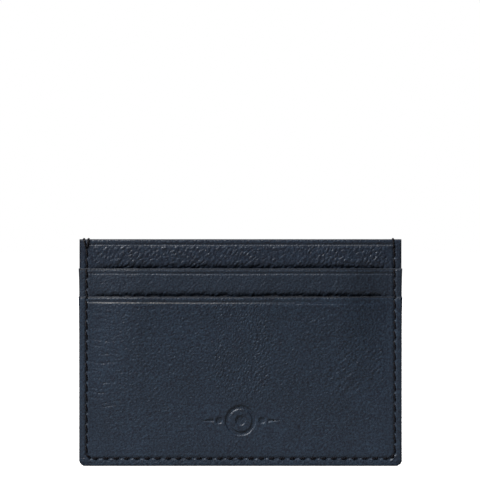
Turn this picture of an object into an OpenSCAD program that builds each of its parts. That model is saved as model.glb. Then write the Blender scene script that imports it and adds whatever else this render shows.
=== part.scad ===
// Slim leather card holder: two moulded halves sewn back to back round three sides.
// Each half has an upper and a lower card slot; the centre pocket opens at the top.
// +Z up, X is the width, the front faces -Y, and the bottom edge stands on z = 0.

/* [Overall] */
// Width of the pocket panels, without edge paint
pocket_w = 100; // [98:0.1:104]
// Width of the body panels, a little narrower than the pockets
body_w = 99.6; // [97:0.1:103]
// Height of the top edge above the surface it stands on
top_z = 70.2; // [69:0.1:76]
// Height of the upper slot's mouth
upper_mouth_z = 61.1; // [60:0.1:64]
// Height of the lower slot's mouth
lower_mouth_z = 52.4; // [50:0.1:55]
// Radius of the two bottom corners
corner_r = 1.6; // [0.5:0.1:3]

/* [Layers] */
// Thickness of the body leather
body_t = 0.6; // [0.5:0.05:0.9]
// Thickness of the reinforcement behind the body leather
reinforcement_t = 0.15; // [0.1:0.05:0.3]
// Thickness of every fabric lining
lining_t = 0.15; // [0.1:0.05:0.25]
// Thickness of the upper pocket leather
upper_t = 0.55; // [0.5:0.05:0.8]
// Thickness of the lower pocket leather
lower_t = 0.65; // [0.5:0.05:0.9]
// Thickness of the edge paint
paint_t = 0.15; // [0.1:0.05:0.3]

/* [Slots] */
// Open thickness of each card slot and of the centre pocket
slot_gap = 0.86; // [0.84:0.02:1.2]
// Half width of the raised, flat middle that a card needs
raised_half = 44.6; // [43.8:0.1:45]
// Half width at which the layers are pressed together
seam_half = 46.8; // [46:0.1:47]
// Height at which the bottom seam ends and the pocket begins to rise
foot_low = 3; // [2.8:0.1:3.4]
// Height at which the pocket is fully raised
foot_high = 4.4; // [4.2:0.1:5]
// Height of the sewn bottom of the upper slots
upper_slot_z = 12.2; // [11:0.1:14]
// Lower end of the upper pocket's leather strip
strip_low_z = 45; // [42:0.5:48]

/* [Sewing] */
// Length of one stitch
stitch_pitch = 3.17; // [2.5:0.01:4]
// Diameter of the thread
thread_d = 0.45; // [0.3:0.05:0.6]
// Distance from the panel's edge to the stitch line
stitch_inset = 2.35; // [1.8:0.05:2.6]

/* [Decoration] */
// Distance from a mouth's edge to its pressed crease line
crease_drop = 1.6; // [1.2:0.1:2.5]
// Width of a crease line
crease_w = 0.4; // [0.2:0.05:0.6]
// Depth of a crease line
crease_depth = 0.12; // [0.05:0.01:0.2]
// Height of the middle of the pressed ornament
ornament_z = 14.2; // [12:0.1:20]
// Width of the whole ornament
ornament_w = 24.4; // [20:0.1:30]
// Outer diameter of the ornament's ring
ring_d = 9.4; // [6:0.1:11]
// Depth of the pressed ornament
ornament_depth = 0.2; // [0.05:0.05:0.3]

/* [Hidden] */
$fn = 48;

leather = [0.16, 0.2, 0.26];
leather_light = [0.19, 0.23, 0.29];
lining = [0.1, 0.11, 0.15];
thread = [0.05, 0.06, 0.09];
paint = [0.08, 0.1, 0.15];
board = [0.45, 0.4, 0.33];

// Depths are measured outwards from the middle plane: first in the seam, then in the raised middle.
// Each pair is the depth of a layer's inner face.
lining_in = [0, slot_gap / 2];
reinforcement_in = lining_in + [lining_t, lining_t];
body_in = reinforcement_in + [reinforcement_t, reinforcement_t];
body_out = body_in + [body_t, body_t];
upper_lining_in = body_out + [0, slot_gap];
upper_in = upper_lining_in + [lining_t, lining_t];
upper_out = upper_in + [upper_t, upper_t];
lower_lining_in = upper_out + [0, slot_gap];
lower_in = lower_lining_in + [lining_t, lining_t];
lower_out = lower_in + [lower_t, lower_t];

far = 200; // reaches past the holder sideways and upwards
deep = 20; // reaches past every layer
hairline = 0.02;
overlap = 0.01;
sharp = 0.01; // the radius of a corner that isn't rounded
bottom_z = paint_t;
body_top = top_z - paint_t;
stitch_x = pocket_w / 2 - stitch_inset;
stitch_z = bottom_z + stitch_inset;
stem_half = raised_half - 0.5; // half width of the upper lining's stem
stem_foot_z = upper_slot_z + 1.4; // where the stem stands fully open
stem_low_z = upper_slot_z - 1.6; // its lower edge, below the row that sews it down
slot_stitch_z = upper_slot_z - 0.8;
slot_stitch_margin = 1;
stitch_fill = 0.82; // the part of each stitch length that the thread covers
stitch_slant = 8; // degrees
reinforcement_margin = 4.6; // the reinforcement ends this far below the top edge
corner_cut = pocket_w / 2 - corner_r;

// The outline of a panel, seen from the front, with rounded bottom corners.
module outline(width, low, high, r) {
    half = width / 2;
    union() {
        translate([-half, low + r]) square([width, high - low - r]);
        translate([-half + r, low]) square([width - 2 * r, r + overlap]);
        for (side = [-1, 1]) translate([side * (half - r), low + r]) circle(r);
    }
}

// The same outline as a block that reaches from the middle plane past every layer of the front.
module outline_block(width, low, high, r) {
    rotate([90, 0, 0]) linear_extrude(2 * deep, center = true) outline(width, low, high, r);
}

// Everything behind a moulded surface whose depths in the seam and in the middle are given.
// A closed foot comes down to the seam's depth at the bottom as well.
module mound(depths, low, high, foot = true) {
    seam = depths[0];
    middle = depths[1];
    intersection() {
        translate([0, 0, low]) linear_extrude(high - low) polygon([
            [-far, deep], [-far, -seam], [-seam_half, -seam], [-raised_half, -middle],
            [raised_half, -middle], [seam_half, -seam], [far, -seam], [far, deep]
        ]);
        rotate([90, 0, 90]) linear_extrude(2 * far, center = true) polygon(foot
            ? [
                [deep, -far], [deep, far], [-middle, far],
                [-middle, foot_high], [-seam, foot_low], [-seam, -far]
            ]
            : [[deep, -far], [deep, far], [-middle, far], [-middle, -far]]
        );
    }
}

// A moulded sheet between two such surfaces, inside the given outline.
module sheet(inner, thickness, width, low, high, r = corner_r, foot = true) {
    outer = inner + [thickness, thickness];
    difference() {
        intersection() {
            outline_block(width, low, high, r);
            mound(outer, low - 1, high + 1, foot);
        }
        mound(inner, low - 2, high + 2, foot);
    }
}

// Hairlines along the folds between a sheet's raised middle and its margins. Each flat or bent
// part is then a block of its own, so that nothing closes the slot behind the raised middle.
module fold_lines(foot = true) {
    for (side = [-1, 1]) translate([side * raised_half - hairline / 2, -deep, foot ? foot_high : 0])
        cube([hairline, 2 * deep, far]);
    if (foot) translate([-raised_half - hairline / 2, -deep, foot_high])
        cube([2 * raised_half + hairline, 2 * deep, hairline]);
}

// The shallow pressed line that runs along a mouth, below its edge.
module crease(outer, mouth) {
    low = mouth - crease_drop - crease_w / 2;
    intersection() {
        translate([-seam_half, -deep, low]) cube([2 * seam_half, deep, crease_w]);
        difference() {
            mound(outer + [1, 1], low - 1, low + crease_w + 1);
            mound(outer - [crease_depth, crease_depth], low - 2, low + crease_w + 2);
        }
    }
}

// A ring with a dot in it, between two smaller dots and two tapering lines.
module ornament() {
    ring_line = 1.2;
    dot_d = 3;
    small_dot_d = 2;
    small_dot_x = 6.6;
    line_start = 8.4;
    line_h = 0.9;
    difference() {
        circle(d = ring_d);
        circle(d = ring_d - 2 * ring_line);
    }
    circle(d = dot_d);
    for (side = [-1, 1]) {
        translate([side * small_dot_x, 0]) circle(d = small_dot_d);
        polygon([
            [side * line_start, line_h / 2], [side * ornament_w / 2, 0], [side * line_start, -line_h / 2]
        ]);
    }
}

module pressed_ornament() {
    translate([0, -lower_out[1] + ornament_depth, ornament_z])
        rotate([90, 0, 0]) linear_extrude(deep) ornament();
}

// One stitch lying on the leather, as a short bar from one needle hole to the next.
module stitch(x, z, depth, angle) {
    bar = stitch_pitch * stitch_fill;
    translate([x, -depth - thread_d / 2, z]) rotate([0, angle, 0])
        cylinder(h = bar, d = thread_d, center = true, $fn = 16);
}

function surface_depth(z) =
    z < lower_mouth_z ? lower_out[0] : z < upper_mouth_z ? upper_out[0] : body_out[0];

// The lockstitch round three sides, with the bars that wrap over the top edge at both ends.
module perimeter_stitches() {
    across = floor(2 * stitch_x / stitch_pitch);
    up = floor((body_top - stitch_z) / stitch_pitch);
    across_pitch = 2 * stitch_x / across;
    up_pitch = (body_top - stitch_z) / up;
    color(thread) {
        for (i = [0 : across - 1])
            stitch(-stitch_x + (i + 0.5) * across_pitch, stitch_z, lower_out[0], 90 + stitch_slant);
        for (side = [-1, 1], i = [0 : up - 1]) {
            z = stitch_z + (i + 0.5) * up_pitch;
            stitch(side * stitch_x, z, surface_depth(z), stitch_slant);
        }
        for (side = [-1, 1]) translate([side * stitch_x, 0, body_top + paint_t - thread_d / 2])
            rotate([90, 0, 0]) cylinder(h = body_out[0] + thread_d / 2, d = thread_d, $fn = 16);
    }
}

// The hidden row that sews the foot of the upper slot's lining to the body.
module slot_stitches() {
    count = floor(2 * (stem_half - slot_stitch_margin) / stitch_pitch);
    color(thread) for (i = [0 : count - 1])
        stitch((i + 0.5 - count / 2) * stitch_pitch, slot_stitch_z, body_out[1] + lining_t, 90);
}

// The upper slot's lining is a T: arms behind the leather strip, and a stem sewn down at its foot.
module upper_lining() {
    stem_inner = [body_out[1], upper_lining_in[1]];
    stem_outer = stem_inner + [lining_t, lining_t];
    color(lining) difference() {
        union() {
            sheet(upper_lining_in, lining_t, pocket_w, strip_low_z, upper_mouth_z - paint_t, sharp, false);
            rotate([90, 0, 90]) linear_extrude(2 * stem_half, center = true) polygon([
                [-stem_inner[0], stem_low_z], [-stem_inner[0], upper_slot_z],
                [-stem_inner[1], stem_foot_z], [-stem_inner[1], strip_low_z + overlap],
                [-stem_outer[1], strip_low_z + overlap], [-stem_outer[1], stem_foot_z],
                [-stem_outer[0], upper_slot_z], [-stem_outer[0], stem_low_z]
            ]);
        }
        fold_lines(false);
        translate([-far, -deep, stem_foot_z]) cube([2 * far, 2 * deep, hairline]);
    }
}

// A U-shaped strip that levels the sewn margins below the arms of the upper pocket.
module seam_filler() {
    color(leather) difference() {
        intersection() {
            outline_block(pocket_w, bottom_z, strip_low_z, corner_r);
            translate([-far, -lower_lining_in[0], 0]) cube([2 * far, upper_out[0] - body_out[0], far]);
        }
        translate([-seam_half, -deep, foot_low]) cube([2 * seam_half, 2 * deep, far]);
    }
}

// The leather, lining and paint of the front; the back is its mirror image, without the ornament.
module body_panel() {
    color(leather) difference() {
        sheet(body_in, body_t, body_w, bottom_z, body_top);
        crease(body_out, body_top);
        fold_lines();
    }
}

module reinforcement() {
    color(board) intersection() {
        sheet(reinforcement_in, reinforcement_t, body_w, bottom_z, body_top);
        translate([-raised_half, -deep, foot_high])
            cube([2 * raised_half, deep, body_top - foot_high - reinforcement_margin]);
    }
}

module centre_lining() {
    color(lining) sheet(lining_in, lining_t, body_w, bottom_z, body_top);
}

module upper_pocket() {
    color(leather_light) difference() {
        sheet(upper_in, upper_t, pocket_w, strip_low_z, upper_mouth_z - paint_t, sharp, false);
        crease(upper_out, upper_mouth_z - paint_t);
        fold_lines(false);
    }
}

module lower_pocket(decorated) {
    color(leather_light) difference() {
        sheet(lower_in, lower_t, pocket_w, bottom_z, lower_mouth_z - paint_t);
        crease(lower_out, lower_mouth_z - paint_t);
        fold_lines();
        if (decorated) pressed_ornament();
    }
}

module lower_lining() {
    color(lining) sheet(lower_lining_in, lining_t, pocket_w, bottom_z, lower_mouth_z - paint_t);
}

// Edge paint along a mouth: as deep as the layers that it seals.
module mouth_paint(inner, thickness, width, mouth) {
    color(paint) sheet(inner, thickness, width, mouth - paint_t, mouth, sharp, false);
}

// Edge paint round one tier's sewn sides. The lowest tier, on the ground, has the round corners.
module tier_paint(width, depth, low, high) {
    lowest = low == 0;
    rotate([90, 0, 0]) linear_extrude(2 * depth, center = true) difference() {
        outline(width + 2 * paint_t, low, high, lowest ? corner_r + paint_t : sharp);
        translate([0, lowest ? bottom_z : 0]) outline(width, lowest ? 0 : low - 1, high + 1, corner_r);
    }
}

module edge_paint() {
    color(paint) union() {
        tier_paint(pocket_w, lower_out[0], 0, lower_mouth_z);
        tier_paint(pocket_w, upper_out[0], lower_mouth_z - overlap, upper_mouth_z);
        tier_paint(body_w, body_out[0], upper_mouth_z - overlap, top_z);
    }
}

module left_edge_paint() {
    intersection() {
        edge_paint();
        translate([-far - corner_cut, -deep, -1]) cube([far, 2 * deep, far]);
    }
}

module bottom_edge_paint() {
    intersection() {
        edge_paint();
        translate([-corner_cut, -deep, -1]) cube([2 * corner_cut, 2 * deep, far]);
    }
}

module front_upper_mouth_paint() {
    mouth_paint(upper_lining_in, lining_t + upper_t, pocket_w, upper_mouth_z);
}

module front_lower_mouth_paint() {
    mouth_paint(lower_lining_in, lining_t + lower_t, pocket_w, lower_mouth_z);
}

module front_top_edge_paint() {
    mouth_paint(lining_in, lining_t + reinforcement_t + body_t, body_w, top_z);
}

module back() {
    mirror([0, 1, 0]) children();
}

body_panel();  // front_body_panel
reinforcement();  // front_reinforcement
centre_lining();  // front_centre_lining
front_top_edge_paint();
upper_pocket();  // front_upper_pocket
upper_lining();  // front_upper_lining
slot_stitches();  // front_upper_slot_stitch
front_upper_mouth_paint();
lower_pocket(true);  // front_lower_pocket
lower_lining();  // front_lower_lining
front_lower_mouth_paint();
seam_filler();  // front_seam_filler
back() body_panel();  // back_body_panel
back() reinforcement();  // back_reinforcement
back() centre_lining();  // back_centre_lining
back() front_top_edge_paint();  // back_top_edge_paint
back() upper_pocket();  // back_upper_pocket
back() upper_lining();  // back_upper_lining
back() slot_stitches();  // back_upper_slot_stitch
back() front_upper_mouth_paint();  // back_upper_mouth_paint
back() lower_pocket(false);  // back_lower_pocket
back() lower_lining();  // back_lower_lining
back() front_lower_mouth_paint();  // back_lower_mouth_paint
back() seam_filler();  // back_seam_filler
perimeter_stitches();  // needle_thread
back() perimeter_stitches();  // bobbin_thread
left_edge_paint();
bottom_edge_paint();
mirror([1, 0, 0]) left_edge_paint();  // right_edge_paint
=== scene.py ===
"""A slim navy card holder, standing upright: moulded leather layers sewn round three sides.

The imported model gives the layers' places and sizes. Depths are measured in millimetres from the
middle plane outwards, so the front's y is minus its depth and the back's y is plus its depth.
"""

import math

import bpy
import numpy as np
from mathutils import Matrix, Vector


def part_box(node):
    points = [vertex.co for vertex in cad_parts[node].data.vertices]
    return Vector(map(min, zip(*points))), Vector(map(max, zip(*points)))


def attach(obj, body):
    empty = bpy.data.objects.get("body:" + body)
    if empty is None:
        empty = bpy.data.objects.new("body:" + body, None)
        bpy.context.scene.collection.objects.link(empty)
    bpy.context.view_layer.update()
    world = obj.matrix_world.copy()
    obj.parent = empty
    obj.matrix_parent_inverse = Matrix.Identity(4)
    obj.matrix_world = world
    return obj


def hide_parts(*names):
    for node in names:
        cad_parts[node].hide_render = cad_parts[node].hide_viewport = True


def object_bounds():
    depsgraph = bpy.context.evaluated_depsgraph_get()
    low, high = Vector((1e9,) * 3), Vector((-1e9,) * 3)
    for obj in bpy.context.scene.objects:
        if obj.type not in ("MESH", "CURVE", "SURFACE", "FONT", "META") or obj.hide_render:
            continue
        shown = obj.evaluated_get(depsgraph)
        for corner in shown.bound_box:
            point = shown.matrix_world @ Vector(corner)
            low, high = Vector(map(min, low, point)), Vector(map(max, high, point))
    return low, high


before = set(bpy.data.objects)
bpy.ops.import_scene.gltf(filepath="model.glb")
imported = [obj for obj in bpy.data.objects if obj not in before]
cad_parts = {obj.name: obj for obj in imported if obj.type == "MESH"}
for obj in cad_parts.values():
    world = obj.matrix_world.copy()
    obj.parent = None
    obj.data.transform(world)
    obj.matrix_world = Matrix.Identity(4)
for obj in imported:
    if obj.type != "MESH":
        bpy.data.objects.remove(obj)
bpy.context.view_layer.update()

MM = 0.001
SIDES = {"front": -1, "back": 1}

# ---------------------------------------------------------------- sizes, in millimetres
BODY_T, UPPER_T, LOWER_T = 0.6, 0.55, 0.65  # leather thicknesses, as in the CAD
LINING_T, BOARD_T = 0.15, 0.15
CROWN_START = 47.2  # half width at which the layers start to part
CROWN_X = 17.0  # how far inwards the pockets take to rise fully
FOOT_Z = 3.2  # height at which they start to part, just above the bottom seam
CORNER_R = 1.6
FLARE, FLARE_DROP, DRAW_IN = 0.17, 3.2, 0.15  # a pocket's corners stand out a little at its mouth
TAPER, TAPER_Z = 0.2, 14.0  # and its sides draw in towards the bottom
EDGE_ROLL, BOTTOM_ROLL = 0.5, 0.2  # how far a cut edge is rounded
SINK_Z, SINK_W, SINK_START = 0.15, 1.25, 5.0  # the hollow that the layers behind a mouth make
BODY_SINK, UPPER_SINK, PRESS = 0.36, 0.5, 0.25  # and how deep it is
UPPER_SLOT_Z = 12.2  # the foot of the upper slots
STEM_HALF = CROWN_START - 3.1  # the narrow part of the upper lining
STEM_BELOW, STEM_RISE = 1.6, 12.0  # how far it passes the slot's foot, and takes to leave the body
BEAD = 0.16  # how far the edge paint stands proud

PITCH = 3.17  # one stitch
STITCH_INSET = 2.35
STITCH_SLANT = 0.2  # each stitch lies a little across its row
CORNER_CUT = 1.2  # the seam turns each bottom corner in one short slanting stitch
SEAM_TOP_DROP = 2.6  # from the top edge down to the first needle hole
SEAM_REACH = 2.5  # how far from the stitch line the seam dents the leather
GROOVE_DEPTH, PIT_DEPTH, PIT_W = 0.18, 0.2, 0.3  # the dents under a stitch and at a needle hole
THREAD_R = 0.3
PLY_TURN = 1.3  # the length in which the thread's two plies go round once
SLOT_ROW_HALF, SLOT_ROW_DROP = 41.5, 0.8  # the hidden row at the foot of the upper slots

CREASE_DROP = {"body": 1.5, "upper": 1.36, "lower": 1.4}  # from a mouth's edge to its pressed line
CREASE_HALF_W, CREASE_WALL = 0.33, 0.12
CREASE_HALF = 47.8  # the pressed lines stop at the side seams
RIM_DROP, RIM_W, RIM_DEPTH = 0.5, 0.14, 0.03  # the faint line between a pressed line and its mouth
ORNAMENT_X, ORNAMENT_Z, ORNAMENT_W = 0.0, 14.2, 24.4
RING, RING_LINE, DOT = 9.4, 1.2, 3.0  # the pressed ring, its line and the dot in it
SMALL_DOT, SMALL_DOT_X, LINE_START, LINE_W = 2.0, 6.6, 8.4, 0.9
ORNAMENT_DEPTH = 0.3

GRAIN_LEAN = math.radians(50)  # the grain's long direction, from the horizontal
GRAIN_VALLEY = 0.35  # width of the valleys between pebbles, in units of a pebble
WRINKLE_GAP, WRINKLE_W = 1.6, 0.2  # the level wrinkles beside the left seam
WRINKLE_PLACE, WRINKLE_SPREAD = (-44.5, 29), (6, 17)
FOLD_PLACE, FOLD_SPREAD = (31, 27), (11, 9)  # the slanting folds at the lower right
FOLD_LEANS = (math.radians(28), math.radians(48))

SEAM_BAND, EDGE_BAND, MOUTH_BAND = 0.9, 0.4, 2.2  # the stretches that are meshed finely
ORNAMENT_BAND_X, ORNAMENT_BAND_Z = 8.2, 5.2
FINE_STEP, LOWER_FINE_X, LOWER_FINE_Z = 0.12, 0.15, 0.14  # and the mesh spacing in them
FAR = 9.0  # further than any dent or pebble reaches


def box_mm(node):
    low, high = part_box(node)
    return np.array(low) / MM, np.array(high) / MM


class Layer:
    """A leather or fabric layer: the depth of its inner face in the seam and in the middle."""

    def __init__(self, node, thickness):
        low, high = box_mm("front_" + node)
        self.t = thickness
        self.seam = -high[1]
        self.middle = -low[1] - thickness
        self.half = high[0]
        self.low, self.high = low[2], high[2]


body = Layer("body_panel", BODY_T)
upper = Layer("upper_pocket", UPPER_T)
lower = Layer("lower_pocket", LOWER_T)
centre_lining = Layer("centre_lining", LINING_T)
lower_lining = Layer("lower_lining", LINING_T)
LAYERS = {"body": body, "upper": upper, "lower": lower}
SEAM_OUT = {name: layer.seam + layer.t for name, layer in LAYERS.items()}
TOP_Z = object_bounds()[1][2] / MM
STITCH_X = upper.half - STITCH_INSET
STITCH_Z = lower.low + STITCH_INSET


# ---------------------------------------------------------------- noise, the same on each run
def smooth(t):
    t = np.clip(t, 0, 1)
    return t * t * (3 - 2 * t)


def bell(distance, width):
    """1 at no distance, and less to both sides."""
    return np.exp(-((distance / width) ** 2))


def patch(x, z, place, spread):
    """1 at a place, and less all round it."""
    return np.exp(-(((x - place[0]) / spread[0]) ** 2) - ((z - place[1]) / spread[1]) ** 2)


def lattice(ix, iz, seed):
    """An even random number from 0 to 1 for each lattice point."""
    h = ix.astype(np.int64) * 374761393 + iz.astype(np.int64) * 668265263 + seed * 974634777
    h = h & 0xFFFFFFFF
    h = ((h ^ (h >> 13)) * 1274126177) & 0xFFFFFFFF
    h = ((h ^ (h >> 15)) * 2246822519) & 0xFFFFFFFF
    return ((h ^ (h >> 16)) & 0xFFFFFF) / float(0x1000000)


def noise(x, z, size, seed):
    """Smooth noise from -1 to 1 whose bumps are about size across."""
    x, z = x / size, z / size
    ix, iz = np.floor(x), np.floor(z)
    fx, fz = x - ix, z - iz
    fx, fz = (f * f * f * (f * (f * 6 - 15) + 10) for f in (fx, fz))
    a, b = lattice(ix, iz, seed), lattice(ix + 1, iz, seed)
    c, d = lattice(ix, iz + 1, seed), lattice(ix + 1, iz + 1, seed)
    return 2 * ((a + (b - a) * fx) * (1 - fz) + (c + (d - c) * fx) * fz) - 1


def rough_noise(x, z, size, seed):
    """Noise of three sizes, each half as large and half as strong as the one before."""
    return sum(noise(x, z, size / 2**k, seed + 31 * k) / 2**k for k in range(3)) / 1.75


def cells(x, z, size, seed):
    """Distance to the nearest and to the second nearest of jittered points, in units of size."""
    x, z = x / size, z / size
    ix, iz = np.floor(x), np.floor(z)
    first = np.full(np.shape(x), FAR)
    second = np.full(np.shape(x), FAR)
    for dx in (-1, 0, 1):
        for dz in (-1, 0, 1):
            px = ix + dx + 0.1 + 0.8 * lattice(ix + dx, iz + dz, seed)
            pz = iz + dz + 0.1 + 0.8 * lattice(ix + dx, iz + dz, seed + 7)
            r = np.hypot(px - x, pz - z)
            second = np.minimum(second, np.maximum(first, r))
            first = np.minimum(first, r)
    return first, second


def pebbles(x, z, size, seed, stretch=1.6):
    """Leather grain: domed cells from about 0 to 1, drawn out along the hide's diagonal."""
    x = x + 2.0 * noise(x, z, 16, seed + 8)
    z = z + 2.0 * noise(x, z, 16, seed + 9)
    along = x * math.cos(GRAIN_LEAN) + z * math.sin(GRAIN_LEAN)
    across = z * math.cos(GRAIN_LEAN) - x * math.sin(GRAIN_LEAN)
    u = along / stretch + 0.3 * size * noise(x, z, size, seed + 3)
    u = u + 0.4 * size * noise(x, z, size * 3, seed + 5)
    v = across + 0.3 * size * noise(x, z, size, seed + 4)
    v = v + 0.4 * size * noise(x, z, size * 3, seed + 6)
    first, second = cells(u, v, size, seed)
    return (1 - bell(second - first, GRAIN_VALLEY)) * (1 - 0.9 * first**2)


def hide(x, z, seed, coarse, fine, size, stretch=1.6):
    """Grain of two sizes, stronger in some places than in others, as on a real hide."""
    uneven = 1 + 0.35 * noise(x, z, 7, seed + 21)
    d = coarse * uneven * pebbles(x, z, size, seed, stretch=stretch)
    return d + fine * pebbles(x, z, size * 0.55, seed + 50, stretch=1.2)


def wrinkles(x, z, seed, lean, length, gap, width=0.33):
    """Thin short grooves that run at an angle to the horizontal: from 0 to about 1 along each."""
    along = x * np.cos(lean) + z * np.sin(lean)
    across = z * np.cos(lean) - x * np.sin(lean)
    across = across + 0.5 * noise(along, across, length, seed + 1)
    lines = bell(noise(along * gap / length, across, gap, seed), width)
    return lines * smooth(noise(along * 1.5 * gap / length, across, gap, seed + 2) / 0.6 + 0.55)


def level_wrinkles(x, z, seed):
    """Thin level grooves in uneven rows, each broken into stretches: 1 in the middle of a groove."""
    height = z + 0.7 * noise(x, z, 7, seed) + 0.5 * noise(x, z, 4, seed + 3)
    row = np.floor(height / WRINKLE_GAP)
    middle = row + 0.5 + 0.5 * (lattice(row, 0 * row, seed + 1) - 0.5)
    shown = smooth(noise(x + 50 * row, 0 * z, 5, seed + 2) / 0.7 + 0.6)
    return bell(height - middle * WRINKLE_GAP, WRINKLE_W) * shown


# ---------------------------------------------------------------- the shape of the layers
def between_seams(x, fade):
    """1 between the side seams, falling to 0 within fade of them."""
    return smooth((CROWN_START - np.abs(x)) / fade)


def crown(x, z):
    """From 0 in the seams to 1 at the lower mouth and above: how far the pockets stand open."""
    rise = np.clip((z - FOOT_Z) / (lower.high - FOOT_Z), 0, 1) ** 1.5
    return between_seams(x, CROWN_X) * rise


def sink(x, z, mouth, depth):
    """How far the layers behind a mouth give way inwards, as the pocket in front presses on them."""
    return -depth * bell(z - mouth + SINK_Z, SINK_W) * between_seams(x, SINK_START)


def ragged_sink(x, z, mouth, seed):
    """The leather's outer face gives way more than its lining does, in a ragged line above a mouth."""
    ragged = z + 0.35 * noise(x, z, 2.2, seed + 33) + 0.3 * noise(x, z, 0.9, seed + 34)
    return sink(x, ragged, mouth, PRESS)


def inner_depth(layer, x, z):
    """The depth of a layer's inner face, with the hollow behind the mouth in front of it."""
    depth = layer.seam + (layer.middle - layer.seam) * crown(x, z)
    if layer in (body, centre_lining):
        depth = depth + sink(x, z, upper.high, BODY_SINK)
    elif layer is upper:
        depth = depth + sink(x, z, lower.high, UPPER_SINK)
    return depth


def outer_depth(layer, x, z):
    return inner_depth(layer, x, z) + layer.t


def stem_depth(x, z):
    """The inner face of the upper slot's lining: on the body at its foot, behind the strip above."""
    on_body = outer_depth(body, x, z)
    gap = upper.middle - LINING_T - body.middle - body.t
    return on_body + gap * crown(x, z) * smooth((z - UPPER_SLOT_Z) / STEM_RISE)


def half_width(layer, z):
    """Half the width at height z, with the round bottom corners of a full-height panel."""
    up = np.maximum(z - layer.low, 0)
    half = layer.half + 0 * up
    if layer is not body:
        half += FLARE * np.exp(-np.maximum(layer.high - z, 0) / FLARE_DROP) - DRAW_IN
        half -= TAPER * np.maximum(1 - z / TAPER_Z, 0)
    if layer is upper:
        return half
    inset = CORNER_R - np.sqrt(np.maximum(CORNER_R**2 - np.maximum(CORNER_R - up, 0) ** 2, 0))
    return half - inset


def edge_roll(s, r=EDGE_ROLL):
    """How far a cut edge falls away at a distance s from the border."""
    s = np.clip(s, 0, r)
    return -(r - np.sqrt(r**2 - (r - s) ** 2))


def top_and_side_roll(layer, x, z):
    """How far a panel's mouth and its two sides fall away."""
    return edge_roll(layer.high - z), edge_roll(half_width(layer, z) - np.abs(x))


# ---------------------------------------------------------------- the seam's dents
def needle_holes():
    """The seam's holes in order: down the left, along the bottom, up the right, corners cut."""
    top, foot = TOP_Z - SEAM_TOP_DROP, STITCH_Z + CORNER_CUT
    across = STITCH_X - CORNER_CUT
    rows, columns = round((top - foot) / PITCH), round(2 * across / PITCH)
    down = [top + (foot - top) * i / rows for i in range(rows + 1)]
    left = [(-STITCH_X, z) for z in down]
    bottom = [(-across + 2 * across * i / columns, STITCH_Z) for i in range(columns + 1)]
    right = [(STITCH_X, z) for z in reversed(down)]
    return np.array(left + bottom + right)


HOLES = needle_holes()


def seam_distances(x, z):
    """Distance to the stitch line, distance to the nearest hole, and the groove under a stitch."""
    line = np.full(x.shape, FAR)
    pit = np.full(x.shape, FAR)
    groove = np.zeros(x.shape)
    side_w = np.where(np.abs(x) > STITCH_X, 0.28, 0.42)
    for (ax, az), (bx, bz) in zip(HOLES[:-1], HOLES[1:]):
        dx, dz = bx - ax, bz - az
        t = np.clip(((x - ax) * dx + (z - az) * dz) / (dx * dx + dz * dz), 0, 1)
        off = np.hypot(x - ax - t * dx, z - az - t * dz)
        line = np.minimum(line, off)
        if az == bz:
            here = 0.8 * bell(off, 0.38) * (1 - 0.9 * np.abs(2 * t - 1) ** 2)
        else:
            here = bell(off, side_w)
        groove = np.maximum(groove, here)
    for hx, hz in HOLES:
        pit = np.minimum(pit, np.hypot(x - hx, z - hz))
    return line, pit, groove


def margin_rise(x, z, line):
    """The leather at a distance line from the seam: raised outside it, and in a low rib inside."""
    left = 0.06 * smooth((line - 0.2) / 0.6) - 0.1 * smooth((line - 0.5) / 1.5)
    right = 0.17 * smooth((line - 0.15) / 0.7)
    bottom = 0.24 * smooth((line - 0.1) / 2.2)
    margin = np.where(z < STITCH_Z, bottom, np.where(x < 0, left, right))
    outside = (np.abs(x) > STITCH_X) | (z < STITCH_Z)
    return np.where(outside, margin, 0.04 * bell(line - 0.95, 0.45))


def corner_ridge(x, z):
    """A short ridge outside the slanting stitch at each bottom corner."""
    along = (np.abs(x) - STITCH_X - STITCH_Z + z + 2 * CORNER_CUT) / math.sqrt(2)
    along = (along - CORNER_CUT / math.sqrt(2)) / 0.9
    beyond = (np.abs(x) - STITCH_X - z + STITCH_Z + CORNER_CUT) / math.sqrt(2) - 0.75
    return 0.13 * np.exp(-((beyond / 0.24) ** 2) - (along**4))


def puckers(x, z):
    """A small ridge that runs outwards from each needle hole, some higher than others."""
    heights = 0.01 + 0.06 * lattice(np.arange(len(HOLES)), np.array([3]), 40) ** 3
    out = np.zeros(x.shape)
    for height, (hx, hz) in zip(heights, HOLES):
        outward = math.copysign(1, hx) if abs(abs(hx) - STITCH_X) < 0.1 else 0.4
        drop = -1 if hz < STITCH_Z + 0.1 else 0.8
        u = ((x - hx) * outward + (z - hz) * drop) / math.hypot(outward, drop)
        v = ((x - hx) * drop - (z - hz) * outward) / math.hypot(outward, drop)
        out += height * patch(v, u, (0, 0.75), (0.2, 0.45))
    return out


def near_seam(x, z):
    """Dents of the seam: a pit at each needle hole, a groove under each stitch, and puckers."""
    out = np.zeros(np.shape(x))
    close = (np.abs(np.abs(x) - STITCH_X) < SEAM_REACH) | (np.abs(z - STITCH_Z) < SEAM_REACH)
    px, pz = x[close], z[close]
    line, pit, groove = seam_distances(px, pz)
    dent = -GROOVE_DEPTH * groove - PIT_DEPTH * bell(pit, PIT_W)
    ridge = margin_rise(px, pz, line) + corner_ridge(px, pz)
    out[close] = dent + ridge + puckers(px, pz)
    return out


# ---------------------------------------------------------------- pressed lines and the ornament
def above_crease(x, z, name):
    """Height above the middle of a pressed line, which wavers a little."""
    return z - (LAYERS[name].high - CREASE_DROP[name]) - 0.05 * noise(x, z * 0, 16, 300 + len(name))


def crease_ends(x):
    return smooth((CREASE_HALF - np.abs(x)) / 0.4)


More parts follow.
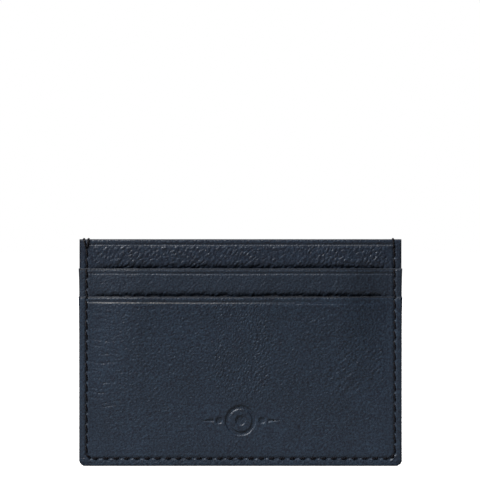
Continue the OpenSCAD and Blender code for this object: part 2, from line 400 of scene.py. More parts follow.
def crease_depth(x, name):
    """The two upper lines are shallower at the left, and the lower one fades to the right."""
    return {
        "body": 0.17 - 0.05 * smooth((-20 - x) / 15),
        "upper": 0.16 - 0.06 * smooth((-20 - x) / 15),
        "lower": 0.04 + 0.11 * smooth((34 - x) / 36),
    }[name]


def crease(x, z, name):
    """The pressed line below a mouth, a groove with a flat floor, and a faint line along the rim."""
    s = above_crease(x, z, name)
    walls = np.tanh((s + CREASE_HALF_W) / CREASE_WALL) - np.tanh((s - CREASE_HALF_W) / CREASE_WALL)
    groove = walls / 2 * (1 + 0.2 * noise(x, z * 0, 3, 310 + len(name)))
    rim = RIM_DEPTH * bell(z - LAYERS[name].high + RIM_DROP, RIM_W)
    return -crease_depth(x, name) * groove * crease_ends(x) - rim


def painted_crease_highlight(x, z, name):
    """A painted highlight along the lower side of a pressed line, where the light catches its groove:
    from 0 to 1.
    """
    line = bell(above_crease(x, z, name) + CREASE_HALF_W, 0.17) * crease_ends(x)
    # How strong the painted highlight is on each line: strongest along the right of the body's line
    # and the left of the lower line.
    strength = {
        "body": 0.1 + 0.14 * smooth((x + 20) / 60),
        "upper": 0.04 * smooth((x + 20) / 60),
        "lower": 0.72 * smooth((26 - x) / 56) * smooth((x + 50) / 9),
    }[name]
    return line * strength * (1 + 0.3 * noise(x, z * 0, 2.5, 320 + len(name)))


def unpressed(z, name):
    """How much of the grain is left: little along the pressed band at a mouth."""
    return 0.12 + 0.88 * smooth((LAYERS[name].high - CREASE_DROP[name] - 0.55 - z) / 0.5)


def ornament(x, z):
    """A pressed ring with a dot in it, between two smaller dots and two tapering lines."""
    x, z = np.abs(x - ORNAMENT_X), z - ORNAMENT_Z
    r = np.hypot(x, z)
    ring = np.abs(r - (RING - RING_LINE) / 2) - RING_LINE / 2
    dots = np.minimum(r - DOT / 2, np.hypot(x - SMALL_DOT_X, z) - SMALL_DOT / 2)
    taper = LINE_W / 2 * np.clip((ORNAMENT_W / 2 - x) / (ORNAMENT_W / 2 - LINE_START), 0, 1)
    lines = np.maximum(np.maximum(np.abs(z) - taper, LINE_START - x), x - ORNAMENT_W / 2)
    inside = np.minimum(np.minimum(ring, dots), lines)
    return -ORNAMENT_DEPTH * smooth(0.5 - inside / 0.3)


def clear_of_ornament(x, z):
    """How much of the grain is left in and round the ornament: a fifth of it in the middle."""
    across = smooth((ORNAMENT_W / 2 + 1 - np.abs(x)) / 1.5)
    return 1 - 0.8 * across * smooth((6.2 - np.abs(z - ORNAMENT_Z)) / 1.5)


# ---------------------------------------------------------------- the leather's outer faces
def body_surface(x, z, seed):
    """The body panel: strong pebble grain, and a soft hollow where it dips behind the upper mouth."""
    d = outer_depth(body, x, z)
    seen = between_seams(x, 3) * unpressed(z, "body")
    d += hide(x, z, seed, coarse=0.16, fine=0.05, size=1.3) * (0.12 + 0.88 * seen)
    d += 0.07 * wrinkles(x, z, seed + 90, GRAIN_LEAN, length=5.0, gap=1.8) * seen
    d += ragged_sink(x, z, upper.high, seed)
    d += 0.05 * rough_noise(x, z, 9, seed + 60)
    d += crease(x, z, "body") + near_seam(x, z)
    top, side = top_and_side_roll(body, x, z)
    return d + top + side


def upper_surface(x, z, seed):
    """The upper pocket: smoother, with light diagonal scratches, and more grain towards its foot."""
    d = outer_depth(upper, x, z)
    seen = between_seams(x, 4) * unpressed(z, "upper")
    foot = smooth((lower.high + 3.0 - z) / 2.5) * seen
    d += hide(x, z, seed, coarse=0.05, fine=0.035, size=1.1) * (0.2 + 0.8 * seen)
    ridges = 0.13 * wrinkles(x, z, seed + 95, GRAIN_LEAN, length=4.0, gap=1.5)
    d += (0.1 * pebbles(x, z, 1.3, seed + 11) + ridges) * foot
    d -= 0.05 * wrinkles(x, z, seed + 70, GRAIN_LEAN, length=7.0, gap=1.6) * seen
    d += 0.05 * rough_noise(x, z, 12, seed + 60)
    d += ragged_sink(x, z, lower.high, seed)
    d += crease(x, z, "upper") + near_seam(x, z)
    top, side = top_and_side_roll(upper, x, z)
    return d + top + side


def lower_surface(x, z, seed, decorated):
    """The lower pocket: fine grain, wrinkles beside the left seam and faint folds at the right."""
    d = outer_depth(lower, x, z)
    above_seam = smooth((z - STITCH_Z) / 2.5)
    seen = between_seams(x, 4) * above_seam * unpressed(z, "lower")
    near = between_seams(x, 0.8) * above_seam * unpressed(z, "lower")
    calm = (0.55 + 0.45 * smooth((z - 12) / 20)) * (1 - 0.55 * bell(x + 45.5, 5.5))
    grain = hide(x, z, seed, coarse=0.12, fine=0.1, size=1.0, stretch=1.3)
    d += grain * calm * (0.25 + 0.75 * seen) * (clear_of_ornament(x, z) if decorated else 1)
    d += 0.12 * rough_noise(x, z, 20, seed + 60) * seen

    beside = patch(x, z, WRINKLE_PLACE, WRINKLE_SPREAD)
    d -= 0.18 * level_wrinkles(x, z, seed + 80) * beside * near
    faint = 0.07 * wrinkles(x, z, seed + 84, 0.0, length=6.0, gap=1.3, width=0.22)
    d -= faint * bell(x + 22, 14) * near
    fold = patch(x, z, FOLD_PLACE, FOLD_SPREAD)
    for k, lean in enumerate(FOLD_LEANS):
        lines = wrinkles(x, z, seed + 90 + 5 * k, lean, length=7.0, gap=1.1, width=0.27)
        d -= 0.12 * lines * fold * seen

    d += crease(x, z, "lower") + near_seam(x, z)
    if decorated:
        d += ornament(x, z)
    top, side = top_and_side_roll(lower, x, z)
    return d + top + side + edge_roll(z - lower.low, BOTTOM_ROLL)


# ---------------------------------------------------------------- meshes
def line_of(low, high, step, dense=(), fine=None):
    """Places from low to high a step apart, and fine apart inside each dense stretch."""
    at, out = low, [low]
    while at < high - 1e-6:
        gap = fine if any(a <= at < b for a, b in dense) else step
        starts = [a for a, b in dense if at < a < at + gap]
        at = min(starts[0] if starts and starts[0] - at > 0.02 else at + gap, high)
        out.append(at)
    if len(out) > 2 and out[-1] - out[-2] < 0.02:
        del out[-2]
    return np.array(out)


def finish_mesh(name, points, faces, sign, material, nodes, slot, painted_highlight=None):
    """A mesh from points given as (x, depth, z), riding on the body and standing for its nodes."""
    co = np.array(points, float)
    co[:, 1] *= sign
    if sign > 0:
        faces = [f[::-1] for f in faces]
    mesh = bpy.data.meshes.new(name)
    mesh.from_pydata((co * MM).tolist(), [], faces)
    mesh.validate()
    mesh.shade_smooth()
    mesh.set_sharp_from_angle(angle=math.radians(50))
    # The strength of the painted highlight at each point, kept as a point attribute for the material
    # to read.
    if painted_highlight:
        values = painted_highlight(co[:, 0], co[:, 2]).astype(np.float32)
        mesh.attributes.new("painted_highlight", "FLOAT", "POINT").data.foreach_set("value", values)
    piece = bpy.data.objects.new(name, mesh)
    bpy.context.scene.collection.objects.link(piece)
    mesh.materials.append(material)
    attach(piece, "root")
    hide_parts(*nodes)
    return piece


def sheet_mesh(xs, zs, outer, inner, half, skip=6):
    """A closed sheet: a dense outer face, a plain inner face and the cut edge between them.

    xs are the columns at the widest place; each row is drawn in to half(z). The inner face has
    only every skip-th row and column.
    """
    nx, nz = len(xs), len(zs)
    grid_z = np.repeat(zs[:, None], nx, 1)
    grid_x = xs[None, :] * (half(zs) / xs[-1])[:, None]
    face = np.stack([grid_x, outer(grid_x, grid_z), grid_z], -1)
    cols = sorted({*range(0, nx, skip), nx - 1})
    rows = sorted({*range(0, nz, skip), nz - 1})
    back_x, back_z = grid_x[np.ix_(rows, cols)], grid_z[np.ix_(rows, cols)]
    rear = np.stack([back_x, inner(back_x, back_z), back_z], -1)
    points = np.concatenate([face.reshape(-1, 3), rear.reshape(-1, 3)])
    last_row, last_col = len(rows) - 1, len(cols) - 1

    def front(i, j):
        return i * nx + j

    def back(i, j):
        return nx * nz + i * len(cols) + j

    faces = []
    for i in range(nz - 1):
        for j in range(nx - 1):
            faces.append((front(i, j), front(i, j + 1), front(i + 1, j + 1), front(i + 1, j)))
    for i in range(last_row):
        for j in range(last_col):
            faces.append((back(i, j), back(i + 1, j), back(i + 1, j + 1), back(i, j + 1)))
    for k in range(last_col):
        span = range(cols[k], cols[k + 1] + 1)
        bottom = [front(0, j) for j in reversed(span)]
        top = [front(nz - 1, j) for j in span]
        faces.append((*bottom, back(0, k), back(0, k + 1)))
        faces.append((*top, back(last_row, k + 1), back(last_row, k)))
    for k in range(last_row):
        span = range(rows[k], rows[k + 1] + 1)
        left = [front(i, 0) for i in span]
        right = [front(i, nx - 1) for i in reversed(span)]
        faces.append((*left, back(k + 1, 0), back(k, 0)))
        faces.append((*right, back(k, last_col), back(k + 1, last_col)))
    return points, faces


def across_path(path, reference, spare, limit):
    """A path's direction and a direction across it, at each point.

    The second is square to reference, or to spare where the path runs along reference.
    """
    along = np.gradient(path, axis=0)
    along /= np.maximum(np.linalg.norm(along, axis=1), 1e-9)[:, None]
    ref = np.tile(reference, (len(path), 1))
    ref[np.abs((along * ref).sum(1)) > limit] = spare
    u = np.cross(along, ref)
    u /= np.linalg.norm(u, axis=1)[:, None]
    return along, u


def tube(path, radius, sides):
    """Rings of points round a path."""
    along, u = across_path(path, [0.0, 1.0, 0.0], [1.0, 0.0, 0.0], 0.95)
    v = np.cross(u, along)
    a = np.linspace(0, 2 * math.pi, sides, endpoint=False)
    around = np.cos(a)[None, :, None] * u[:, None] + np.sin(a)[None, :, None] * v[:, None]
    return path[:, None] + radius * around


def rings_to_mesh(rings, points, faces):
    """Adds rings of equal count as a tube, with flat ends."""
    start, n, k = len(points), len(rings), rings.shape[1]
    points.extend(rings.reshape(-1, 3).tolist())
    for i in range(n - 1):
        for j in range(k):
            a, b = start + i * k + j, start + i * k + (j + 1) % k
            faces.append((a, b, b + k, a + k))
    faces.append(tuple(start + j for j in reversed(range(k))))
    faces.append(tuple(start + (n - 1) * k + j for j in range(k)))


# ---------------------------------------------------------------- materials
def new_material(name):
    """A material with its node tree, its shader and the place in the object for its textures."""
    mat = bpy.data.materials.new(name)
    mat.use_nodes = True
    tree = mat.node_tree
    place = add(tree, "ShaderNodeTexCoord").outputs["Object"]
    return mat, tree, tree.nodes["Principled BSDF"], place


def add(tree, kind, **values):
    node = tree.nodes.new(kind)
    for key, value in values.items():
        setattr(node, key, value)
    return node


def texture(tree, kind, vector, scale, **inputs):
    node = tree.nodes.new(kind)
    tree.links.new(vector, node.inputs["Vector"])
    node.inputs["Scale"].default_value = scale
    for key, value in inputs.items():
        node.inputs[key].default_value = value
    return node


def times(colour, factor):
    """A colour times one number, or times a number for each channel."""
    return tuple(np.multiply(colour, factor))


def ramp(tree, fac, low, high, stops=(0.3, 0.7)):
    node = add(tree, "ShaderNodeValToRGB")
    tree.links.new(fac, node.inputs["Fac"])
    for element, place, colour in zip(node.color_ramp.elements, stops, (low, high)):
        element.position = place
        element.color = (*colour, 1)
    return node.outputs["Color"]


def bump(tree, shader, height, strength, distance):
    """Fine relief on the shader's normal, with its distance in metres."""
    node = add(tree, "ShaderNodeBump")
    node.inputs["Strength"].default_value = strength
    node.inputs["Distance"].default_value = distance
    tree.links.new(height, node.inputs["Height"])
    tree.links.new(node.outputs["Normal"], shader.inputs["Normal"])


def with_painted_highlight(tree, dyed):
    """The dyed colour, with a pale painted highlight mixed in as far as the mesh's attribute for it
    says.
    """
    highlighted = add(tree, "ShaderNodeMix", data_type="RGBA")
    painted_highlight = add(tree, "ShaderNodeAttribute", attribute_name="painted_highlight")
    tree.links.new(painted_highlight.outputs["Fac"], highlighted.inputs["Factor"])
    tree.links.new(dyed, highlighted.inputs["A"])
    highlighted.inputs["B"].default_value = (*HIGHLIGHT_COLOUR, 1)
    return highlighted.outputs["Result"]


def leather(name, colour, rough):
    """Dyed leather: two sizes of fine grain, pores, and changes of colour and gloss."""
    mat, tree, shader, place = new_material(name)
    speckle = texture(tree, "ShaderNodeTexNoise", place, SPECKLE_SCALE, Detail=2).outputs["Fac"]
    patches = texture(tree, "ShaderNodeTexNoise", place, PATCH_SCALE, Detail=4).outputs["Fac"]
    dyed = add(tree, "ShaderNodeMix", data_type="RGBA", blend_type="MULTIPLY")
    dyed.inputs["Factor"].default_value = 1
    mottle = ramp(tree, speckle, times(colour, SHADE), times(colour, LIGHT))
    tree.links.new(mottle, dyed.inputs["A"])
    tree.links.new(ramp(tree, patches, (0.88,) * 3, (1.12,) * 3), dyed.inputs["B"])
    # The mottled dye, with the painted highlight of the pressed lines mixed in, is the base colour.
    tree.links.new(with_painted_highlight(tree, dyed.outputs["Result"]), shader.inputs["Base Color"])

    fine = texture(tree, "ShaderNodeTexVoronoi", place, GRAIN_SCALE, Randomness=1.0)
    pores = texture(tree, "ShaderNodeTexNoise", place, GRAIN_SCALE * 2.2, Detail=3).outputs["Fac"]
    mixed = add(tree, "ShaderNodeMath", operation="ADD")
    tree.links.new(fine.outputs["Distance"], mixed.inputs[0])
    tree.links.new(pores, mixed.inputs[1])
    bump(tree, shader, mixed.outputs[0], 0.6, 0.00014)
    gloss = add(tree, "ShaderNodeMapRange")
    gloss.inputs["To Min"].default_value = rough - 0.08
    gloss.inputs["To Max"].default_value = rough + 0.08
    tree.links.new(pores, gloss.inputs["Value"])
    tree.links.new(gloss.outputs["Result"], shader.inputs["Roughness"])
    shader.inputs["Specular IOR Level"].default_value = 0.42
    return mat


def cloth(name, colour, threads=2600):
    """Fine twill: diagonal ribs crossed by thread noise."""
    mat, tree, shader, place = new_material(name)
    ribs = texture(tree, "ShaderNodeTexWave", place, threads / 6, Distortion=0.6)
    ribs.wave_type, ribs.bands_direction = "BANDS", "DIAGONAL"
    fuzz = texture(tree, "ShaderNodeTexNoise", place, threads, Detail=2)
    weave = ramp(tree, ribs.outputs["Fac"], times(colour, 0.7), times(colour, 1.25), (0.2, 0.8))
    tree.links.new(weave, shader.inputs["Base Color"])
    both = add(tree, "ShaderNodeMath", operation="MULTIPLY_ADD")
    tree.links.new(fuzz.outputs["Fac"], both.inputs[0])
    both.inputs[1].default_value = 0.4
    tree.links.new(ribs.outputs["Fac"], both.inputs[2])
    bump(tree, shader, both.outputs[0], 0.5, 0.00006)
    shader.inputs["Roughness"].default_value = 0.8
    shader.inputs["Sheen Weight"].default_value = 0.25
    return mat


def plain(name, colour, rough, scale, bump_strength=0.2, gloss=0.2):
    """Paint, thread or board: one colour that changes a little, with a fine texture."""
    mat, tree, shader, place = new_material(name)
    grain = texture(tree, "ShaderNodeTexNoise", place, scale, Detail=4).outputs["Fac"]
    uneven = ramp(tree, grain, times(colour, 0.8), times(colour, 1.2))
    tree.links.new(uneven, shader.inputs["Base Color"])
    bump(tree, shader, grain, bump_strength, 0.00005)
    shader.inputs["Roughness"].default_value = rough
    shader.inputs["Specular IOR Level"].default_value = gloss
    return mat


SPECKLE_SCALE, PATCH_SCALE, GRAIN_SCALE = 1700, 80, 1500  # per metre, as the textures take them
# The pale colour of the painted highlight along the pressed lines.
HIGHLIGHT_COLOUR = (0.125, 0.119, 0.112)
SHADE, LIGHT = (0.56, 0.48, 0.54), (1.46, 1.52, 1.42)  # how the dye varies from spot to spot
PEBBLED = leather("pebbled_leather", (0.0155, 0.024, 0.042), 0.42)
SMOOTH = leather("smooth_leather", (0.0158, 0.0250, 0.0425), 0.46)
FINE = leather("fine_leather", (0.0155, 0.0264, 0.0465), 0.46)
LINING = cloth("twill_lining", (0.012, 0.015, 0.024))
THREAD = plain("waxed_thread", (0.0045, 0.0032, 0.0055), 0.6, 9000)
PAINT = plain("edge_paint", (0.026, 0.032, 0.045), 0.5, 2500, gloss=0.5)
BOARD = plain("bonded_board", (0.25, 0.19, 0.13), 0.85, 3000, 0.5)


# ---------------------------------------------------------------- leather, linings and boards
def fine_columns(half):
    """The stretches across a panel's width that need fine columns: both seams and both edges."""
    seams = [(s * STITCH_X - SEAM_BAND, s * STITCH_X + SEAM_BAND) for s in (-1, 1)]
    return seams + [(-half, -half + EDGE_BAND), (half - EDGE_BAND, half)]


def open_rows(layer, open_from, hidden_step, step):
    """Rows of a panel that are close together only above open_from, where no pocket covers it."""
    hidden = line_of(layer.low, open_from, hidden_step)[:-1]
    mouth = [(layer.high - MOUTH_BAND, layer.high)]
    return np.concatenate([hidden, line_of(open_from, layer.high, step, mouth, FINE_STEP)])


def leather_panel(side, piece, node, name, grid, surface, material):
    """One leather panel, carrying the strength of the painted highlight along its pressed line."""
    layer = LAYERS[name]
    mesh = sheet_mesh(
        *grid, surface, lambda x, z: inner_depth(layer, x, z), lambda z: half_width(layer, z)
    )
    slot = "body_leather" if layer is body else "pocket_leather"
    finish_mesh(
        f"{side}_{piece}", *mesh, SIDES[side], material, [f"{side}_{node}"], slot,
        lambda x, z: painted_crease_highlight(x, z, name),
    )


def body_leather(side, seed):
    xs = line_of(-body.half, body.half, 0.2, fine_columns(body.half), FINE_STEP)
    zs = open_rows(body, upper.high - 3, 3.0, 0.2)
    leather_panel(
        side, "body_leather", "body_panel", "body", (xs, zs),
        lambda x, z: body_surface(x, z, seed), PEBBLED,
    )


def upper_leather(side, seed):
    xs = line_of(-upper.half, upper.half, 0.25, fine_columns(upper.half), FINE_STEP)
    zs = open_rows(upper, lower.high - 2, 1.5, 0.25)
    leather_panel(
        side, "upper_pocket_leather", "upper_pocket", "upper", (xs, zs),
        lambda x, z: upper_surface(x, z, seed), SMOOTH,
    )


def lower_leather(side, seed):
    """The lower pocket's leather. Only the front one carries the ornament."""
    decorated = side == "front"
    columns = fine_columns(lower.half)
    rows = [(lower.low, STITCH_Z + SEAM_BAND), (lower.high - MOUTH_BAND, lower.high)]
    if decorated:
        columns.append((ORNAMENT_X - ORNAMENT_BAND_X, ORNAMENT_X + ORNAMENT_BAND_X))
        rows.append((ORNAMENT_Z - ORNAMENT_BAND_Z, ORNAMENT_Z + ORNAMENT_BAND_Z))
    xs = line_of(-lower.half, lower.half, 0.31, sorted(columns), LOWER_FINE_X)
    zs = line_of(lower.low, lower.high, 0.225, sorted(rows), LOWER_FINE_Z)
    leather_panel(
        side, "lower_pocket_leather", "lower_pocket", "lower", (xs, zs),
        lambda x, z: lower_surface(x, z, seed, decorated), FINE,
    )


def full_lining(side, layer, node):
    """The cloth glued to the inside of a leather panel, as wide and as high as the panel."""
    mesh = sheet_mesh(
        line_of(-layer.half, layer.half, 1.0), line_of(layer.low, layer.high, 1.0),
        lambda x, z: outer_depth(layer, x, z), lambda x, z: inner_depth(layer, x, z),
        lambda z: half_width(layer, z), 2,
    )
    piece = finish_mesh(
        f"{side}_{node}_cloth", *mesh, SIDES[side], LINING, [f"{side}_{node}"], "lining"
    )


def upper_lining(side):
    """The T-shaped lining of the upper slot: as wide as the strip, and narrower below it."""
    low, high = UPPER_SLOT_Z - STEM_BELOW, upper.high
    xs = line_of(-upper.half, upper.half, 1.0)
    zs = np.concatenate([line_of(low, upper.low - 0.01, 1.0), line_of(upper.low, high, 1.0)])
    mesh = sheet_mesh(
        xs, zs, lambda x, z: stem_depth(x, z) + LINING_T, stem_depth,
        lambda z: np.where(z < upper.low, STEM_HALF, upper.half), 1,
    )
    node = f"{side}_upper_lining"
    piece = finish_mesh(f"{node}_cloth", *mesh, SIDES[side], LINING, [node], "lining")


def reinforcement(side):
    """The board glued behind the body panel."""
    node = f"{side}_reinforcement"
    low, high = box_mm(node)
    mesh = sheet_mesh(
        line_of(low[0], high[0], 2.0), line_of(low[2], high[2], 2.0),
        lambda x, z: inner_depth(body, x, z), lambda x, z: inner_depth(body, x, z) - BOARD_T,
        lambda z: np.full(np.shape(z), high[0]), 1,
    )
    finish_mesh(f"{node}_board", *mesh, SIDES[side], BOARD, [node], "board")


# ---------------------------------------------------------------- edge paint
def squarish(t):
    """A circle's coordinate, from -1 to 1, pushed out towards a square's."""
    return np.sign(t) * np.abs(t) ** 0.7


def mouth_bead(side, place, inner, outer, top, half):
    """Edge paint along a mouth: an oval bead over all the layers that it seals."""
    name = f"{side}_{place}_bead"
    xs = line_of(-half, half, 0.6)
    z = np.full(len(xs), top - BEAD)
    d0, d1 = inner(xs, z), outer(xs, z)
    mid, reach = (d0 + d1) / 2, (d1 - d0) / 2 + 0.02
    a = np.linspace(0, 2 * math.pi, 12, endpoint=False)
    wobble = 1 + 0.06 * noise(xs, z, 11.0, 900 + len(name))
    wobble = wobble + 0.04 * noise(xs, z, 2.3, 70 + len(name))
    rings = np.empty((len(xs), len(a), 3))
    rings[:, :, 0] = xs[:, None]
    rings[:, :, 1] = mid[:, None] + reach[:, None] * squarish(np.cos(a))[None, :]
    rings[:, :, 2] = top - BEAD + (BEAD * wobble)[:, None] * squarish(np.sin(a))[None, :]
    points, faces = [], []
    rings_to_mesh(rings[:, ::-1], points, faces)
    finish_mesh(name, points, faces, SIDES[side], PAINT, [f"{side}_{place}_paint"], "edge_paint")


def mouth_beads(side):
    """The paint on the top edge and on both mouths of one half."""
    mouth_bead(
        side, "top_edge", lambda x, z: inner_depth(centre_lining, x, z),
        lambda x, z: outer_depth(body, x, z) - 0.1, TOP_Z, body.half,
    )
    mouth_bead(
        side, "upper_mouth", stem_depth,
        lambda x, z: outer_depth(upper, x, z) - 0.05, upper.high + BEAD, upper.half,
    )
    mouth_bead(
        side, "lower_mouth", lambda x, z: inner_depth(lower_lining, x, z),
        lambda x, z: outer_depth(lower, x, z) - 0.05, lower.high + BEAD, lower.half,
    )


def edge_film(edge, route):
    """Edge paint along a sewn edge.

    Each stretch of the route gives its points as (x, z), their outward directions, half the depth
    of the layers there, and whether its rings run the other way round.
    """
    t = np.linspace(-1, 1, 15)
    bulge = 1 - np.abs(t) ** 5
    points, faces = [], []
    for at, out, reach, flip in route:
        rings = np.empty((len(at), len(t) + 2, 3))
        ripple = 1 + 0.1 * noise(at[:, 0] + at[:, 1], at[:, 1], 2.5, 77)
        proud = (BEAD * ripple)[:, None] * bulge[None, :]
        rings[:, : len(t), 0] = at[:, None, 0] + out[:, None, 0] * proud
        rings[:, : len(t), 2] = at[:, None, 1] + out[:, None, 1] * proud
        rings[:, : len(t), 1] = (t * reach)[None, :]
        for k, y in ((0, reach * 0.96), (1, -reach * 0.96)):
            rings[:, len(t) + k, 0] = at[:, 0] - out[:, 0] * 0.12
            rings[:, len(t) + k, 2] = at[:, 1] - out[:, 1] * 0.12
            rings[:, len(t) + k, 1] = y
        rings_to_mesh(rings if flip else rings[:, ::-1], points, faces)
    finish_mesh(f"{edge}_edge_film", points, faces, 1, PAINT, [f"{edge}_edge_paint"], "edge_paint")


def edge_films():
    """The paint on the left, right and bottom edges. The round corners go with the sides."""
    corner_z = lower.low + CORNER_R
    corner_x = half_width(lower, np.array(corner_z)) - CORNER_R
    steps = [
        (body, upper.high + BEAD, TOP_Z - 0.1, SEAM_OUT["body"]),
        (upper, lower.high + BEAD, upper.high + BEAD, SEAM_OUT["upper"]),
        (lower, corner_z, lower.high + BEAD, SEAM_OUT["lower"]),
    ]
    for sign, edge in ((-1, "left"), (1, "right")):
        route = []
        for layer, low, high, depth in steps:
            z = line_of(low, high, 0.5)
            at = np.stack([sign * half_width(layer, z), z], 1)
            out = np.tile([sign, 0.0], (len(z), 1))
            if layer is lower:
                a = np.linspace(math.pi / 2, 0, 13)[:-1]
                arc_x = sign * corner_x + sign * CORNER_R * np.cos(a)
                arc = np.stack([arc_x, corner_z - CORNER_R * np.sin(a)], 1)
                at = np.concatenate([arc, at])
                out = np.concatenate([np.stack([sign * np.cos(a), -np.sin(a)], 1), out])
            route.append((at, out, depth, sign > 0))
        edge_film(edge, route)
    x = line_of(-corner_x, corner_x, 0.6)
    at = np.stack([x, np.full(len(x), lower.low)], 1)
    out = np.tile([0.0, -1.0], (len(x), 1))
    edge_film("bottom", [(at, out, SEAM_OUT["lower"], True)])


# ---------------------------------------------------------------- thread
def seam_surface(z):
    """The depth of the outermost leather under the side seams at height z."""
    above = np.where(z < upper.high + 0.3, SEAM_OUT["upper"], SEAM_OUT["body"])
    return np.where(z < lower.high + 0.3, SEAM_OUT["lower"], above)


def twisted(path, points, faces, radius):
    """Adds a thread along a path: two plies laid round each other."""
    length = np.concatenate([[0], np.cumsum(np.linalg.norm(np.diff(path, axis=0), axis=1))])
    along, u = across_path(path, [0.31, 0.0, 0.95], [0.95, 0.0, -0.31], 0.9)
    v = np.cross(along, u)
    turn = length * 2 * math.pi / PLY_TURN
    for ply in (0, math.pi):
        c, s = np.cos(turn + ply)[:, None], np.sin(turn + ply)[:, None]
        rings = tube(path + radius * 0.45 * (c * u + s * v), radius * 0.6, 6)
        rings_to_mesh(rings, points, faces)


def lockstitch():
    """The path of the seam's thread on one face: it dives into each needle hole."""
    t = np.linspace(0, 1, 20, endpoint=False)
    path = []
    for (ax, az), (bx, bz) in zip(HOLES[:-1], HOLES[1:]):
        dx, dz = bx - ax, bz - az
        lean = STITCH_SLANT * np.sin(math.pi * (t - 0.5)) / math.hypot(dx, dz)
        rise = 0.04 - 1.1 * np.abs(2 * t - 1) ** (2.0 if az == bz else 3.4)
        surface = np.maximum.reduce([seam_surface(az + dz * t + s) for s in (-0.25, 0, 0.25)])
        path.append(np.stack([ax + dx * t - lean * dz, surface + rise, az + dz * t + lean * dx], 1))
    return np.concatenate(path)


def back_tack(hx, hz, off, shorter):
    """The path of a tack: from the middle of the top edge outwards, and down to the first hole."""
    top, seam = TOP_Z + 0.02, SEAM_OUT["body"]
    fall = top - 0.3 - hz - shorter
    track = []
    for s in (0.0, 0.3, 0.6, 0.85):
        track.append((hx + off, seam * s, top + 0.06 * math.sqrt(1 - s * s * 0.9)))
    for s in np.linspace(0, 1, 8):
        out = seam + 0.1 + 0.06 * math.sin(math.pi * s)
        track.append((hx + off * (1 - 0.6 * s), out, top - 0.15 - fall * s))
    track.append((hx, seam - 0.5, hz - 0.1))
    return eased(np.array(track))


def eased(track, count=60, window=5):
    """A path of count points along a track of a few points, with its corners rounded."""
    s = np.linspace(0, len(track) - 1, count)
    path = np.stack([np.interp(s, np.arange(len(track)), track[:, i]) for i in range(3)], 1)
    padded = np.pad(path, ((window // 2, window // 2), (0, 0)), mode="edge")
    kernel = np.ones(window) / window
    return np.stack([np.convolve(padded[:, i], kernel, "valid") for i in range(3)], 1)


def seam_thread(name, node, sign):
    """The lockstitch on one face, with its back tacks over the top edge."""
    points, faces = [], []
    twisted(lockstitch(), points, faces, THREAD_R)
    tacks = ((-STITCH_X, HOLES[0][1], (0.5, -0.9)), (STITCH_X, HOLES[-1][1], (-0.3,)))
    for hx, hz, offsets in tacks:
        for k, off in enumerate(offsets):
            twisted(back_tack(hx, hz, off, 0.2 * k), points, faces, THREAD_R)
    finish_mesh(name, points, faces, sign, THREAD, [node], "thread")


def slot_stitch(side):
    """The hidden row that closes the upper slot's foot."""
    xs = np.arange(-SLOT_ROW_HALF, SLOT_ROW_HALF + 0.1, 0.16)
    z = np.full(len(xs), UPPER_SLOT_Z - SLOT_ROW_DROP)
    phase = (xs / PITCH) % 1.0
    depth = stem_depth(xs, z) + LINING_T + 0.08 - 0.5 * np.abs(2 * phase - 1) ** 3
    points, faces = [], []
    twisted(np.stack([xs, depth, z], 1), points, faces, THREAD_R * 0.9)
    node = f"{side}_upper_slot_stitch"
    finish_mesh(f"{side}_slot_thread", points, faces, SIDES[side], THREAD, [node], "thread")


# ---------------------------------------------------------------- the pieces
for side in SIDES:
    seed = 100 if side == "front" else 500
    body_leather(side, seed)
    upper_leather(side, seed + 7)
    lower_leather(side, seed + 17)
    full_lining(side, centre_lining, "centre_lining")
    full_lining(side, lower_lining, "lower_lining")
    upper_lining(side)
    reinforcement(side)
    mouth_beads(side)
    slot_stitch(side)
    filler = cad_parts[f"{side}_seam_filler"]
    filler.data.materials.clear()
    filler.data.materials.append(PEBBLED)
edge_films()
seam_thread("needle_lockstitch", "needle_thread", -1)
seam_thread("bobbin_lockstitch", "bobbin_thread", 1)


# ---------------------------------------------------------------- studio
VIEW_MM = 148.33  # width of the view at the front of the holder
LENS, SENSOR = 120.0, 36.0
VIEW_X, VIEW_Z = -0.15, 69.94  # the middle of the view
KEY_W, FILL_W, BOUNCE_W = 42, 0.25, 0.11
FLOOR_HALF = 8.0  # metres


def camera():
    data = bpy.data.cameras.new("camera")
    data.lens, data.sensor_width = LENS, SENSOR
    data.clip_start, data.clip_end = 0.01, 10
    cam = bpy.data.objects.new("camera", data)
    distance = VIEW_MM * LENS / SENSOR
    cam.location = Vector((VIEW_X, -(distance + SEAM_OUT["lower"]), VIEW_Z)) * MM
    cam.rotation_euler = (math.radians(90), 0, 0)
    bpy.context.scene.collection.objects.link(cam)
    bpy.context.scene.camera = cam


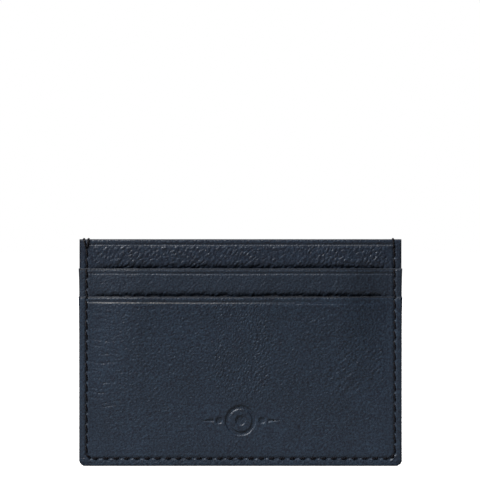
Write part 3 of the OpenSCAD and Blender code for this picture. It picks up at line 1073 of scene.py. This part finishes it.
def white_floor():
    """A floor that is as white as the backdrop and throws no light on the holder."""
    mat, tree, shader, place = new_material("white_floor")
    grain = texture(tree, "ShaderNodeTexNoise", place, 3, Detail=1).outputs["Fac"]
    tree.links.new(ramp(tree, grain, (0.9,) * 3, (0.92,) * 3), shader.inputs["Base Color"])
    shader.inputs["Roughness"].default_value = 0.9
    shader.inputs["Emission Color"].default_value = (1, 1, 1, 1)
    shader.inputs["Emission Strength"].default_value = 1.0
    mesh = bpy.data.meshes.new("floor")
    r = FLOOR_HALF
    mesh.from_pydata([(-r, -r, 0), (r, -r, 0), (r, r, 0), (-r, r, 0)], [], [(0, 1, 2, 3)])
    floor = bpy.data.objects.new("floor", mesh)
    mesh.materials.append(mat)
    bpy.context.scene.collection.objects.link(floor)
    floor.visible_diffuse = False
    floor.visible_glossy = False


def white_backdrop():
    """A world that is white to the camera and lights the holder only faintly."""
    world = bpy.data.worlds.new("studio")
    world.use_nodes = True
    tree = world.node_tree
    back = tree.nodes["Background"]
    back.inputs["Color"].default_value = (0.95, 0.97, 1, 1)
    back.inputs["Strength"].default_value = 0.02
    seen = tree.nodes.new("ShaderNodeBackground")
    seen.inputs["Color"].default_value = (1, 1, 1, 1)
    seen.inputs["Strength"].default_value = 1.0
    path = tree.nodes.new("ShaderNodeLightPath")
    mix = tree.nodes.new("ShaderNodeMixShader")
    tree.links.new(path.outputs["Is Camera Ray"], mix.inputs["Fac"])
    tree.links.new(back.outputs[0], mix.inputs[1])
    tree.links.new(seen.outputs[0], mix.inputs[2])
    tree.links.new(mix.outputs[0], tree.nodes["World Output"].inputs["Surface"])
    bpy.context.scene.world = world


def area_light(name, place, size, power, target=(0, 0, 0.035)):
    data = bpy.data.lights.new(name, "AREA")
    data.shape, data.size, data.size_y = "RECTANGLE", size[0], size[1]
    data.energy = power
    lamp = bpy.data.objects.new(name, data)
    lamp.location = place
    lamp.rotation_euler = (Vector(target) - Vector(place)).to_track_quat("-Z", "Y").to_euler()
    bpy.context.scene.collection.objects.link(lamp)


def lights():
    """A soft key from the upper left, a weak fill and a weak bounce, and the same from behind."""
    area_light("key", (-0.8, -0.62, 1.25), (0.5, 0.5), KEY_W)
    area_light("fill", (0.9, -0.9, 0.3), (0.7, 0.7), FILL_W)
    area_light("back_key", (0.8, 0.62, 1.25), (0.5, 0.5), KEY_W)
    area_light("back_fill", (-0.9, 0.9, 0.3), (0.7, 0.7), FILL_W)
    area_light("bounce", (-0.05, -0.105, 0.0005), (0.4, 0.2), BOUNCE_W, (-0.05, -0.105, 1))
    area_light("back_bounce", (0.05, 0.105, 0.0005), (0.4, 0.2), BOUNCE_W, (0.05, 0.105, 1))


camera()
white_floor()
white_backdrop()
lights()
bpy.context.scene.view_settings.view_transform = "Standard"
